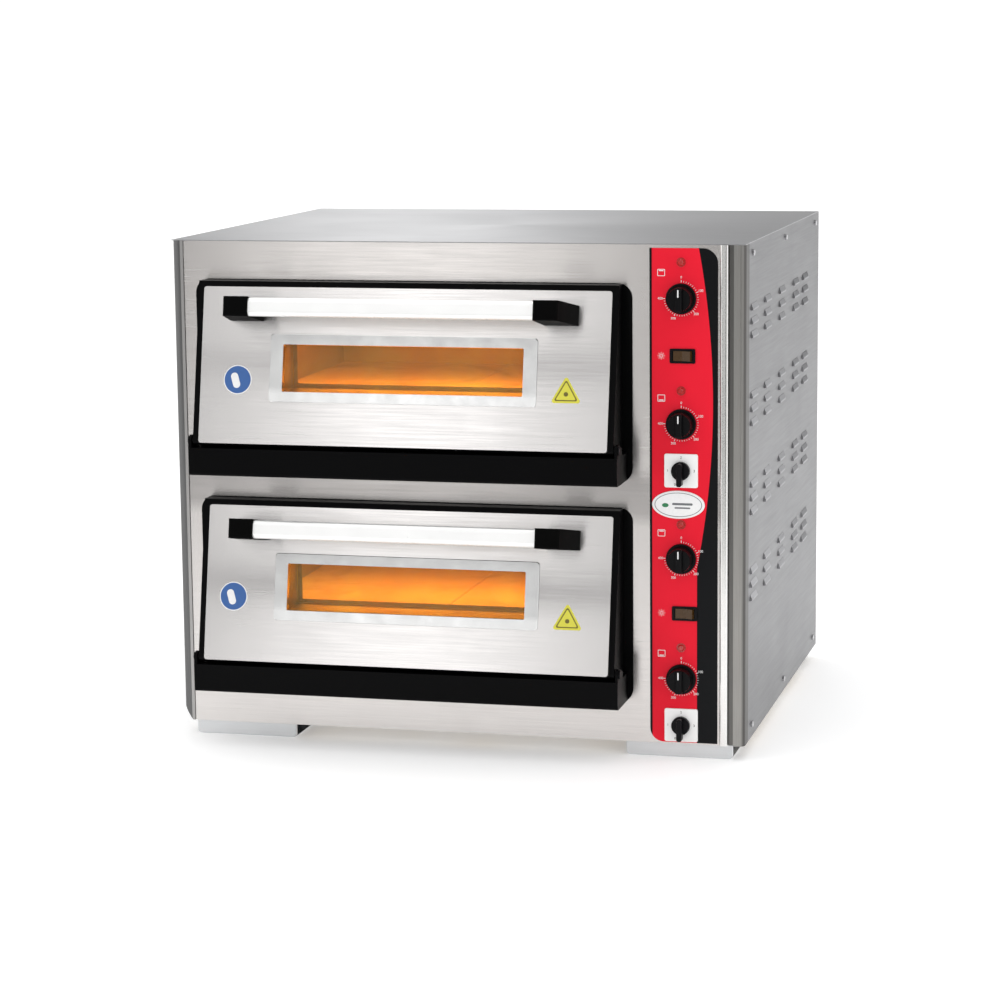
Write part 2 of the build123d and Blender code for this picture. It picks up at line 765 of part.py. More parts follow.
def cable_gland():
    """Cable entry: hexagon, dome nut and locknut around one through bore."""
    y0 = back_y - sheet
    hexagon = Plane.XZ * RegularPolygon(14, 6)
    body = Pos(gland_x, back_y + 8, gland_z) * extrude(hexagon, 8)
    body += bore_y(gland_x, gland_z, gland_thread_radius, y0 - 9, back_y + 1)
    dome = bore_y(gland_x, gland_z, 12, back_y + 8, gland_reach_y)
    body += fillet(dome.edges().group_by(Axis.Y)[-1], 3)
    locknut = Pos(gland_x, y0, gland_z) * extrude(hexagon, 5)
    body += locknut
    return body - bore_y(gland_x, gland_z, gland_bore_radius, y0 - 20, gland_reach_y + 5)


# ---------------------------------------------------------------- drop-down door
frame_off = -sheet
hinge_inset = slope_z * (hinge_y - panel_foot[0]) - slope_y * (hinge_z - panel_foot[1])
roll_radius = hinge_inset + frame_off
door_low_z = hinge_z - roll_radius
pocket_y = door_back_y - sheet
flange_y = pocket_y - 2.0
glass_front_off = -7.5
glass_back_off = glass_front_off - glass_thickness
tunnel_half_width = 186.0
tunnel_z = (206.0, 280.0)
tunnel_wall = 1.2
inner_pane_y = plug_reach_y - sheet


def wedge(off, x0, x1, top_z, rear_y):
    """Door-shaped prism: level foot, sloping front that lies off the panel's, upright back."""
    radius = hinge_inset + off
    foot = (hinge_y - slope_z * radius, hinge_z + slope_y * radius)
    outline = [
        (rear_y, hinge_z - radius),
        (hinge_y, hinge_z - radius),
        foot,
        slope_at_z(top_z, off),
        (rear_y, top_z),
    ]
    return side_profile(outline, x0, x1)


def door_frame():
    """Black pressed wedge: cheeks, top, rolled foot and a narrow border round the panel."""
    body = wedge(frame_off, door_x0, door_x1, door_top_z, door_back_y)
    body += bore_x(hinge_y, hinge_z, roll_radius, door_x0, door_x1)
    body -= wedge(frame_off - skin, door_x0 + skin, door_x1 - skin, door_top_z - skin, flange_y)
    body -= on_slope(panel_width - 14, 24, slope_length - 9, -12, 2)
    body -= block(door_x0 + 13, door_x1 - 13, -12, 2, door_low_z + 13, door_top_z - 13)
    body -= block(door_x0 + skin, door_x1 - skin, pocket_y, 2, door_low_z + skin, door_top_z - skin)
    for x0 in (door_x0, door_x1 - 12):
        body += bore_x(hinge_y, hinge_z, roll_radius, x0, x0 + 12)
    return body - bore_x(hinge_y, hinge_z, pin_radius + running_clearance, door_x0 - 1, door_x1 + 1)


def door_panel():
    """Sloping steel front with the window opening."""
    panel = on_slope(panel_width, panel_roll_gap, slope_length, -sheet, 0, 4)
    half = window_height / 2 + 7.5
    hole = on_slope(window_width + 19, window_slope_mid - half, window_slope_mid + half, -5, 5, 3)
    return panel - hole


def window_trim():
    """Bright frame round the window with a collar that holds the outer pane."""
    mid = window_slope_mid
    half = window_height / 2
    flange_half = half + 15
    flange = on_slope(window_width + 2 * window_border, mid - flange_half, mid + flange_half, 0, 2, 5)
    flange = chamfer(flange.edges().group_by(Axis((0, 0, 0), front_plane.z_dir))[-1], 0.8)
    collar = on_slope(window_width + 18, mid - half - 7, mid + half + 7, glass_front_off, 0, 3)
    opening = on_slope(window_width, mid - half, mid + half, -20, 20, 2)
    return flange + collar - opening


def window_panes():
    """Outer pane on the slope and an inner pane in the plug."""
    half = window_height / 2 + 6
    outer = on_slope(window_width + 16, window_slope_mid - half, window_slope_mid + half,
                     glass_back_off, glass_front_off, 2)
    edge = tunnel_wall + 0.4
    inner = block(chamber_centre_x - tunnel_half_width + edge,
                  chamber_centre_x + tunnel_half_width - edge,
                  inner_pane_y - glass_thickness, inner_pane_y,
                  tunnel_z[0] + edge, tunnel_z[1] - edge)
    return group([outer, inner])


def door_liner():
    """Inner skin with the plug that fills the mouth and the tunnel between the panes."""
    x0, x1 = chamber_x0 + plug_clearance, chamber_x1 - plug_clearance
    liner = block(door_x0 + skin + 0.4, door_x1 - skin - 0.4, pocket_y, door_back_y,
                  door_low_z + skin + 0.4, door_top_z - skin - 0.4)
    liner += block(x0, x1, pocket_y, plug_reach_y, plug_bottom_z, plug_top_z)
    liner -= block(x0 + sheet, x1 - sheet, pocket_y - 1, inner_pane_y,
                   plug_bottom_z + sheet, plug_top_z - sheet)
    left = chamber_centre_x - tunnel_half_width
    right = chamber_centre_x + tunnel_half_width
    tunnel = block(left, right, -70, inner_pane_y, *tunnel_z)
    tunnel -= block(left + tunnel_wall, right - tunnel_wall, -71, inner_pane_y + 1,
                    tunnel_z[0] + tunnel_wall, tunnel_z[1] - tunnel_wall)
    tunnel -= on_slope(500, -20, 260, glass_back_off, 120)
    liner += tunnel
    return liner - block(left + 8, right - 8, -20, 20, tunnel_z[0] + 7, tunnel_z[1] - 7)


def door_insulation():
    """Mineral wool pad between the panel and the liner, open around the window tunnel."""
    pad = wedge(-6, door_x0 + 6, door_x1 - 6, door_top_z - 6, flange_y - 0.5)
    reach = tunnel_half_width + 5
    pad -= block(chamber_centre_x - reach, chamber_centre_x + reach, -80, 0,
                 tunnel_z[0] - 5, tunnel_z[1] + 5)
    half = window_height / 2 + 12
    pad -= on_slope(2 * reach, window_slope_mid - half, window_slope_mid + half, -16, 2)
    for x0 in (door_x0, door_x1 - 16):
        pad -= bore_x(hinge_y, hinge_z, roll_radius + 1, x0, x0 + 16)
    return pad


def handle_brackets():
    """Two black arms, square to the panel and wider at their roots, that carry the handle bar."""
    low = handle_along - bracket_height / 2
    half = handle_span / 2
    inner = half - bracket_width
    plan = [
        (inner, 0),
        (inner, handle_stand_off),
        (half, handle_stand_off),
        (half + bracket_flare, 0),
    ]
    solids = []
    for sign in (-1, 1):
        outline = make_face(Polyline([(sign * x, off) for x, off in plan], close=True))
        arm = extrude(Plane.XZ * outline, bracket_height, dir=(0, 1, 0))
        arm = front_plane.location * Pos(handle_shift_x, low, 0) * arm
        front_edges = arm.edges().group_by(Axis((0, 0, 0), front_plane.z_dir))[-1]
        solids.append(fillet(front_edges, handle_edge_radius))
    return group(solids)


def handle_bar():
    """Flat oval bar between the two arms."""
    half = handle_span / 2 - bracket_width
    section = Plane.YZ * SlotOverall(bar_height, bar_depth)
    bar = extrude(section, 2 * half)
    mid_off = handle_stand_off - bar_setback - bar_depth / 2
    return front_plane.location * Pos(handle_shift_x - half, handle_along, mid_off) * bar


def hinge_pins():
    """Two headed pins, fixed in the door's foot, that turn in the ears of the sill."""
    solids = []
    ear_face = door_x1 + ear_gap + ear_thickness
    pin = bore_x(hinge_y, hinge_z, pin_radius, door_x1 - 11.5, ear_face + 1)
    head = bore_x(hinge_y, hinge_z, 6.5, ear_face + 0.4, ear_face + 2.4)
    head = fillet(head.edges().group_by(Axis.X)[-1], 0.8)
    right = pin + head
    left = Pos(2 * chamber_centre_x, 0, 0) * mirror(right, Plane.YZ)
    return group([left, right])


# ---------------------------------------------------------------- write the nodes
os.makedirs("parts", exist_ok=True)

save("base_tray", base_tray())
save("feet", feet())
save("left_side_panel", side_panel(is_right=False))
save("right_side_panel", side_panel(is_right=True))
save("top_cover", top_cover())
save("back_panel", back_panel())
save("casing_screws", casing_screws())
save("front_fascia", front_fascia())
save("control_overlay", control_overlay())
save("oval_badge", oval_badge())
save("left_edge_trim", left_edge_trim())
save("right_edge_trim", right_edge_trim())
save("chrome_trim_strip", chrome_trim_strip())
save("control_partition", control_partition())
save("thermostat_bodies", thermostat_bodies())
save("cam_switch_bodies", cam_switch_bodies())
save("cam_switch_plates", cam_switch_plates())
save("rocker_frames", rocker_frames())
save("indicator_lamps", indicator_lamps())
save("terminal_block", terminal_block())
save("cable_gland", cable_gland())

save("insulation_slabs", group([up(slab, dz) for _, dz in decks for slab in deck_insulation()]))
save("door_surrounds", group([up(door_surround(), dz) for _, dz in decks]))
save("door_seals", group([up(door_seal(), dz) for _, dz in decks]))
save("oven_lamp_housings", group([up(oven_lamp_housing(), dz) for _, dz in decks]))
save("oven_lamp_lenses", group([up(oven_lamp_lens(), dz) for _, dz in decks]))

deck_nodes = {
    "chamber": chamber_shell(),
    "baking_stones": baking_stones(),
    "heating_elements": heating_elements(),
    "hinge_sill": hinge_sill(),
    "door_frame": door_frame(),
    "door_panel": door_panel(),
    "door_liner": door_liner(),
    "door_insulation": door_insulation(),
    "window_trim": window_trim(),
    "window_panes": window_panes(),
    "handle_brackets": handle_brackets(),
    "handle_bar": handle_bar(),
    "hinge_pins": hinge_pins(),
}
for deck, dz in decks:
    for node, shape in deck_nodes.items():
        save(f"{deck}_{node}", up(shape, dz))
    save(f"{deck}_switch_knob", cam_switch_knob(cam_switch_z[deck]))
    save(f"{deck}_lamp_rocker", rocker(deck))

for place, z in thermostat_z.items():
    save(f"{place}_knob", thermostat_knob(z))
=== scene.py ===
import bpy
import json
import math
from mathutils import Matrix, Vector


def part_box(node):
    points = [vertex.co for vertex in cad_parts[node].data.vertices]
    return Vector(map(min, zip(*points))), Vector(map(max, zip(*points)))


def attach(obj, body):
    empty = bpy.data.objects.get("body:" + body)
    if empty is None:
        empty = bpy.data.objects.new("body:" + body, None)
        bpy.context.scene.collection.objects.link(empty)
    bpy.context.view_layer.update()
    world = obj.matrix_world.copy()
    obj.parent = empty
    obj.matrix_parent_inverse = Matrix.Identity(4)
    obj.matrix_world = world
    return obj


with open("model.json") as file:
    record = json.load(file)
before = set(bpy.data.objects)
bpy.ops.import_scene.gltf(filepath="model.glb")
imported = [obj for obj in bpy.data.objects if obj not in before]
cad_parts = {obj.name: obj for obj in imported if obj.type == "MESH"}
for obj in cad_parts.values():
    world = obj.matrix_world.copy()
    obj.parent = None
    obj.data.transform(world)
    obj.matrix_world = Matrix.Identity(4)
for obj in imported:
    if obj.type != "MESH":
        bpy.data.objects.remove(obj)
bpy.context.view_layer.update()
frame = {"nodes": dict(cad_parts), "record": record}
nodes = frame["nodes"]
decks = ("lower", "upper")


# ---------------------------------------------------------------- shader tree helper
class Tree:
    """One material's node tree, with short calls for the nodes it is made of."""

    def __init__(self, name):
        self.material = bpy.data.materials.new(name)
        self.material.use_nodes = True
        self.nodes = self.material.node_tree.nodes
        self.links = self.material.node_tree.links
        self.shader = self.nodes["Principled BSDF"]
        self.place = self.nodes.new("ShaderNodeTexCoord").outputs["Object"]

    def set(self, **values):
        """Set sockets of the principled shader; underscores stand for spaces."""
        for key, value in values.items():
            self.shader.inputs[key.replace("_", " ")].default_value = value

    def feed(self, socket, output):
        """Link an output to a socket of the principled shader."""
        self.links.new(output, self.shader.inputs[socket])

    def stretched(self, scale):
        """Object coordinates scaled per axis."""
        node = self.nodes.new("ShaderNodeMapping")
        node.inputs["Scale"].default_value = scale
        self.links.new(self.place, node.inputs["Vector"])
        return node.outputs["Vector"]

    def noise(self, scale, detail=3.0, roughness=0.5, stretch=(1, 1, 1), distortion=0.0):
        """Value of a noise texture."""
        node = self.nodes.new("ShaderNodeTexNoise")
        node.inputs["Scale"].default_value = scale
        node.inputs["Detail"].default_value = detail
        node.inputs["Roughness"].default_value = roughness
        node.inputs["Distortion"].default_value = distortion
        self.links.new(self.stretched(stretch), node.inputs["Vector"])
        return node.outputs["Fac"]

    def cells(self, scale, stretch=(1, 1, 1)):
        """Distance to the nearest point of a cell texture."""
        node = self.nodes.new("ShaderNodeTexVoronoi")
        node.inputs["Scale"].default_value = scale
        self.links.new(self.stretched(stretch), node.inputs["Vector"])
        return node.outputs["Distance"]

    def ramp(self, value, stops):
        """Colour ramp through (position, colour) stops; a number stands for a grey."""
        node = self.nodes.new("ShaderNodeValToRGB")
        elements = node.color_ramp.elements
        while len(elements) < len(stops):
            elements.new(0.5)
        for element, (position, colour) in zip(elements, stops):
            element.position = position
            if isinstance(colour, (int, float)):
                colour = (colour, colour, colour)
            element.color = (*colour, 1.0)
        self.links.new(value, node.inputs["Fac"])
        return node.outputs["Color"]

    def math(self, operation, first, second=0.0, third=0.0):
        """Result of one arithmetic node; each operand is a number or an output."""
        node = self.nodes.new("ShaderNodeMath")
        node.operation = operation
        for index, operand in enumerate((first, second, third)):
            if isinstance(operand, (int, float)):
                node.inputs[index].default_value = operand
            else:
                self.links.new(operand, node.inputs[index])
        return node.outputs["Value"]

    def axes(self):
        """Separate x, y and z outputs of the object coordinates."""
        node = self.nodes.new("ShaderNodeSeparateXYZ")
        self.links.new(self.place, node.inputs["Vector"])
        return node.outputs["X"], node.outputs["Y"], node.outputs["Z"]

    def facing(self):
        """How far the surface faces sideways: the x part of its normal."""
        geometry = self.nodes.new("ShaderNodeNewGeometry")
        node = self.nodes.new("ShaderNodeSeparateXYZ")
        self.links.new(geometry.outputs["Normal"], node.inputs["Vector"])
        return node.outputs["X"]

    def blend(self, value, low, high, mode="MIX"):
        """Mix of two colours, each a tuple or an output."""
        node = self.nodes.new("ShaderNodeMix")
        node.data_type = "RGBA"
        node.blend_type = mode
        if isinstance(value, (int, float)):
            node.inputs[0].default_value = value
        else:
            self.links.new(value, node.inputs[0])
        for index, colour in ((6, low), (7, high)):
            if isinstance(colour, tuple):
                node.inputs[index].default_value = (*colour, 1.0)
            else:
                self.links.new(colour, node.inputs[index])
        return node.outputs[2]

    def bump(self, height, strength, distance, below=None):
        """Bump from a height output, on top of another bump if one is given."""
        node = self.nodes.new("ShaderNodeBump")
        node.inputs["Strength"].default_value = strength
        node.inputs["Distance"].default_value = distance
        self.links.new(height, node.inputs["Height"])
        if below is not None:
            self.links.new(below, node.inputs["Normal"])
        return node.outputs["Normal"]

    def around_z(self):
        """Tangent that runs level round the object, along the brushing of upright sheets."""
        node = self.nodes.new("ShaderNodeTangent")
        node.direction_type = "RADIAL"
        node.axis = "Z"
        self.links.new(node.outputs["Tangent"], self.shader.inputs["Tangent"])


# ---------------------------------------------------------------- materials
def brushed_steel(name, colour, roughness, along=(1, 1, 0), grain=0.1, smudge=0.06, anisotropy=0.8,
                  shade_band_z=None, hood_highlight_x=None):
    """Sheet steel brushed along the given axes, with faint smears and a slight waviness.

    It carries painted shade in a band round a given height, and a painted highlight on pressed hoods beyond a
    given x.
    """
    tree = Tree(name)
    stretch = tuple(0.02 if axis else 1.0 for axis in along)
    fine = tree.noise(2600, 2, 0.6, stretch)
    coarse = tree.noise(420, 3, 0.6, stretch)
    smear = tree.noise(5.5, 4, 0.55, distortion=0.6)
    dark = tuple(c * 0.88 for c in colour)
    tint = tree.blend(tree.math("MULTIPLY", coarse, 0.5), colour, dark)
    dull = tuple(c * 0.92 for c in colour)
    skin = tree.blend(tree.ramp(smear, ((0.45, 0.0), (0.75, 0.7))), tint, dull)
    x, _, z = tree.axes()
    if shade_band_z is not None:
        # painted shade: the colour darkens to 0.66 of itself in a band round the given height, between the
        # decks on the fascia
        away = tree.math("ABSOLUTE", tree.math("SUBTRACT", z, shade_band_z))
        tinted = tree.ramp(away, ((0.022, 1.0), (0.045, 0.0)))
        skin = tree.blend(tinted, skin, tuple(c * 0.66 for c in colour))
    # painted highlight: the colour is raised 1.6 times on the pressed louvre hoods
    if hood_highlight_x is not None:
        skin = tree.blend(tree.math("GREATER_THAN", x, hood_highlight_x), skin, tuple(c * 1.6 for c in colour))
    tree.feed("Base Color", skin)
    streaks = tree.math("MULTIPLY_ADD", coarse, 0.16, roughness - 0.08)
    tree.feed("Roughness", tree.math("MULTIPLY_ADD", smear, smudge, streaks))
    wave = tree.noise(2.3, 1, 0.4)
    soft = tree.bump(wave, 0.25, 0.004)
    tree.feed("Normal", tree.bump(fine, grain, 0.00004, soft))
    tree.set(Metallic=1.0, Anisotropic=anisotropy, Anisotropic_Rotation=0.25)
    tree.around_z()
    return tree.material


def corner_steel(name, face, flank_shade, groove_y=1.0, bead_highlight_x=None):
    """Corner profile: brushed front, with painted shade in the groove behind groove_y and where it rolls to
    the side.

    Beyond the given x, its inner edge carries a painted highlight.
    """
    tree = Tree(name)
    lines = tree.noise(900, 3, 0.6, (1, 1, 0.02))
    x, y, _ = tree.axes()
    # painted shade: the colour drops to 0.45 of the face colour in the groove behind groove_y
    groove_shade = tree.math("GREATER_THAN", y, groove_y)
    front = tree.blend(groove_shade, face, tuple(c * 0.45 for c in face))
    # painted highlight: beyond the given x the inner bead turns a lighter grey
    if bead_highlight_x is not None:
        front = tree.blend(tree.math("GREATER_THAN", x, bead_highlight_x), front, (0.48, 0.47, 0.46))
    # painted shade: where the profile faces sideways the colour turns to the darker flank colour
    turn = tree.ramp(tree.math("ABSOLUTE", tree.facing()), ((0.25, 0.0), (0.75, 1.0)))
    shade = tree.blend(turn, front, flank_shade)
    tree.feed("Base Color", tree.blend(tree.math("MULTIPLY", lines, 0.3), shade, (0.05, 0.05, 0.05)))
    tree.feed("Roughness", tree.math("MULTIPLY_ADD", lines, 0.15, 0.34))
    tree.feed("Normal", tree.bump(lines, 0.15, 0.00005))
    tree.set(Metallic=1.0)
    return tree.material


def polished_steel(name, colour, roughness, smeared=0.93, metallic=1.0, pitch=None, stops=None):
    """Bright trim with hairline scratches and finger marks.

    With a pitch, its colour is multiplied by the grey stops up each deck of that height, as painted light and
    shade.
    """
    tree = Tree(name)
    scratches = tree.noise(1800, 2, 0.5, (0.02, 1, 1))
    marks = tree.noise(38, 4, 0.6)
    skin = tree.blend(marks, colour, tuple(c * smeared for c in colour))
    if pitch is not None:
        # painted light and shade: the colour is multiplied by a grey that changes with height on each deck
        level = tree.math("MODULO", tree.axes()[2], pitch)
        skin = tree.blend(1.0, skin, tree.ramp(level, stops), "MULTIPLY")
    tree.feed("Base Color", skin)
    tree.feed("Roughness", tree.math("MULTIPLY_ADD", marks, 0.12, roughness))
    tree.feed("Normal", tree.bump(scratches, 0.06, 0.00002))
    tree.set(Metallic=metallic)
    return tree.material


def enamel(name, colour, roughness, gloss=0.2):
    """Baked enamel with fine orange peel, dust and dull patches."""
    tree = Tree(name)
    peel = tree.noise(520, 2, 0.5)
    patches = tree.noise(9, 5, 0.6)
    dust = tree.ramp(tree.noise(240, 3, 0.7), ((0.62, 0.0), (0.78, 1.0)))
    light = tuple(min(1.0, c * 1.9 + 0.003) for c in colour)
    tree.feed("Base Color", tree.blend(tree.math("MULTIPLY", dust, 0.35), colour, light))
    tree.feed("Roughness", tree.math("MULTIPLY_ADD", patches, 0.18, roughness - 0.06))
    tree.feed("Normal", tree.bump(peel, 0.12, 0.00006))
    tree.set(Specular_IOR_Level=gloss)
    return tree.material


def plastic(name, colour, roughness, grain=0.25, gloss=0.5):
    """Moulded plastic with a spark-eroded grain and rubbed patches."""
    tree = Tree(name)
    pits = tree.noise(1500, 3, 0.6)
    rub = tree.noise(30, 4, 0.6)
    worn = tuple(min(1.0, c * 1.35 + 0.002) for c in colour)
    tree.feed("Base Color", tree.blend(tree.math("MULTIPLY", rub, 0.5), colour, worn))
    tree.feed("Roughness", tree.math("MULTIPLY_ADD", rub, 0.16, roughness - 0.06))
    tree.feed("Normal", tree.bump(pits, grain, 0.00006))
    tree.set(Specular_IOR_Level=gloss)
    return tree.material


def firebrick():
    """Baking stone: sandy grain, pores, flour dust and brown scorch marks."""
    tree = Tree("firebrick")
    grain = tree.noise(900, 4, 0.7)
    pores = tree.ramp(tree.cells(260), ((0.05, 0.0), (0.22, 1.0)))
    scorch = tree.ramp(tree.noise(7, 5, 0.65, distortion=1.2), ((0.5, 0.0), (0.72, 1.0)))
    sand = tree.blend(grain, (0.74, 0.62, 0.46), (0.52, 0.42, 0.3))
    burnt = tree.blend(tree.math("MULTIPLY", scorch, 0.6), sand, (0.2, 0.12, 0.06))
    tree.feed("Base Color", tree.blend(pores, (0.3, 0.22, 0.15), burnt))
    tree.set(Roughness=0.92)
    body = tree.bump(grain, 0.5, 0.0004)
    tree.feed("Normal", tree.bump(pores, 0.35, 0.0005, body))
    return tree.material


def chamber_metal(name, colour, roughness):
    """Aluminised sheet with heat tint that deepens from grey through straw to brown."""
    tree = Tree(name)
    cloud = tree.noise(6, 5, 0.6, distortion=0.8)
    spangle = tree.cells(160)
    heat = tree.ramp(cloud, ((0.3, colour), (0.55, (0.5, 0.4, 0.26)), (0.8, (0.22, 0.15, 0.11))))
    tree.feed("Base Color", tree.blend(tree.math("MULTIPLY", spangle, 0.4), heat, colour))
    tree.feed("Roughness", tree.math("MULTIPLY_ADD", cloud, 0.2, roughness))
    tree.feed("Normal", tree.bump(spangle, 0.1, 0.0002))
    tree.set(Metallic=0.85)
    return tree.material


def heater():
    """Heating tube: dark scaled metal with a dull glow."""
    tree = Tree("heating_tube")
    scale = tree.noise(300, 4, 0.7)
    tree.feed("Base Color", tree.blend(scale, (0.09, 0.07, 0.06), (0.23, 0.16, 0.12)))
    tree.feed("Normal", tree.bump(scale, 0.4, 0.0003))
    tree.set(Metallic=0.6, Roughness=0.6, Emission_Strength=0.8)
    tree.shader.inputs["Emission Color"].default_value = (1.0, 0.2, 0.04, 1)
    return tree.material


def mineral_wool():
    """Matted yellow-brown fibres."""
    tree = Tree("mineral_wool")
    fibre = tree.noise(500, 5, 0.75, (1, 0.15, 1), 2.0)
    clump = tree.noise(35, 4, 0.6)
    light = tree.blend(fibre, (0.34, 0.29, 0.15), (0.62, 0.55, 0.33))
    tree.feed("Base Color", tree.blend(tree.math("MULTIPLY", clump, 0.5), light, (0.3, 0.24, 0.12)))
    tree.set(Roughness=0.95)
    tree.feed("Normal", tree.bump(fibre, 0.8, 0.001))
    return tree.material


def woven_seal():
    """Braided glass-fibre tape."""
    tree = Tree("woven_seal")
    weave = tree.nodes.new("ShaderNodeTexChecker")
    weave.inputs["Scale"].default_value = 420
    tree.links.new(tree.place, weave.inputs["Vector"])
    soil = tree.noise(40, 4, 0.6)
    tape = tree.blend(weave.outputs["Fac"], (0.5, 0.47, 0.4), (0.68, 0.65, 0.58))
    tree.feed("Base Color", tree.blend(tree.math("MULTIPLY", soil, 0.5), tape, (0.25, 0.19, 0.12)))
    tree.set(Roughness=0.9)
    tree.feed("Normal", tree.bump(weave.outputs["Fac"], 0.5, 0.0003))
    return tree.material


def tinted_glass(name, tint, clear, glow=0.0, glow_colour=(1, 0.5, 0.1)):
    """Sheet glass that lets tinted light straight through, with a glossy face and baked-on haze."""
    tree = Tree(name)
    haze = tree.noise(14, 5, 0.65)
    smear = tree.ramp(haze, ((0.35, tuple(min(1, c * 1.12) for c in tint)), (0.75, tint)))
    tree.feed("Base Color", smear)
    tree.feed("Roughness", tree.math("MULTIPLY_ADD", haze, 0.1, 0.02))
    tree.set(Specular_IOR_Level=0.5)
    through = tree.nodes.new("ShaderNodeBsdfTransparent")
    tree.links.new(smear, through.inputs["Color"])
    join = tree.nodes.new("ShaderNodeMixShader")
    edge = tree.nodes.new("ShaderNodeFresnel")
    edge.inputs["IOR"].default_value = 1.45
    tree.links.new(tree.math("MULTIPLY_ADD", edge.outputs["Fac"], 0.85, 1.0 - clear), join.inputs["Fac"])
    tree.links.new(through.outputs["BSDF"], join.inputs[1])
    tree.links.new(tree.shader.outputs["BSDF"], join.inputs[2])
    tree.links.new(join.outputs["Shader"], tree.nodes["Material Output"].inputs["Surface"])
    if glow > 0:
        tree.shader.inputs["Emission Color"].default_value = (*glow_colour, 1)
        tree.set(Emission_Strength=glow)
    return tree.material


def control_film():
    """Printed film: red field bounded by a bow on its right, black beyond it; a thin black left border is
    painted shade along the film's edge.
    """
    low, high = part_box("control_overlay")
    bow_radius = 1.232
    bow_middle_z = 0.52
    bow_right_x = high.x - 0.007
    foot_x = high.x - 0.030
    border = 0.0035
    tree = Tree("control_film")
    x, _, z = tree.axes()
    rise = tree.math("SUBTRACT", z, bow_middle_z)
    square = tree.math("MULTIPLY", rise, rise)
    reach = tree.math("SQRT", tree.math("SUBTRACT", bow_radius**2, square))
    bow = tree.math("ADD", reach, bow_right_x - bow_radius)
    edge = tree.math("MAXIMUM", bow, foot_x)
    inside = tree.math("LESS_THAN", x, edge)
    # painted shade: black in a thin border along the film's left edge
    inside = tree.math("MULTIPLY", inside, tree.math("GREATER_THAN", x, low.x + border))
    fade = tree.noise(7, 3, 0.5)
    red = tree.blend(fade, (0.84, 0.012, 0.034), (0.70, 0.008, 0.024))
    tree.feed("Base Color", tree.blend(inside, (0.004, 0.0045, 0.0055), red))
    tree.feed("Roughness", tree.math("MULTIPLY_ADD", tree.noise(26, 4, 0.6), 0.12, 0.3))
    tree.feed("Normal", tree.bump(tree.noise(700, 2, 0.5), 0.08, 0.00005))
    tree.set(Specular_IOR_Level=0.12)
    return tree.material


def printed(name, colour):
    """Screen-printed or sticker ink with slight mottling."""
    tree = Tree(name)
    mottle = tree.noise(260, 3, 0.6)
    worn = tuple(c * 0.86 for c in colour)
    tree.feed("Base Color", tree.blend(mottle, colour, worn))
    tree.feed("Roughness", tree.math("MULTIPLY_ADD", mottle, 0.15, 0.32))
    return tree.material


def pilot_lens():
    """Dark red translucent dome of an unlit pilot lamp."""
    tree = Tree("pilot_lens")
    ribs = tree.cells(900)
    tree.feed("Base Color", tree.blend(ribs, (0.16, 0.004, 0.004), (0.5, 0.012, 0.01)))
    tree.feed("Normal", tree.bump(ribs, 0.3, 0.0003))
    tree.set(Roughness=0.16, Coat_Weight=0.6, Emission_Strength=0.05)
    tree.shader.inputs["Emission Color"].default_value = (1, 0.05, 0.02, 1)
    return tree.material


def pale_floor():
    """Almost white seamless floor, lit a little from below as a light table is."""
    tree = Tree("pale_floor")
    mottle = tree.noise(1.5, 2, 0.5)
    tree.feed("Base Color", tree.blend(mottle, (0.93, 0.93, 0.93), (0.91, 0.91, 0.915)))
    tree.set(Roughness=0.55, Specular_IOR_Level=0.25, Emission_Strength=0.28)
    tree.shader.inputs["Emission Color"].default_value = (1, 1, 1, 1)
    return tree.material
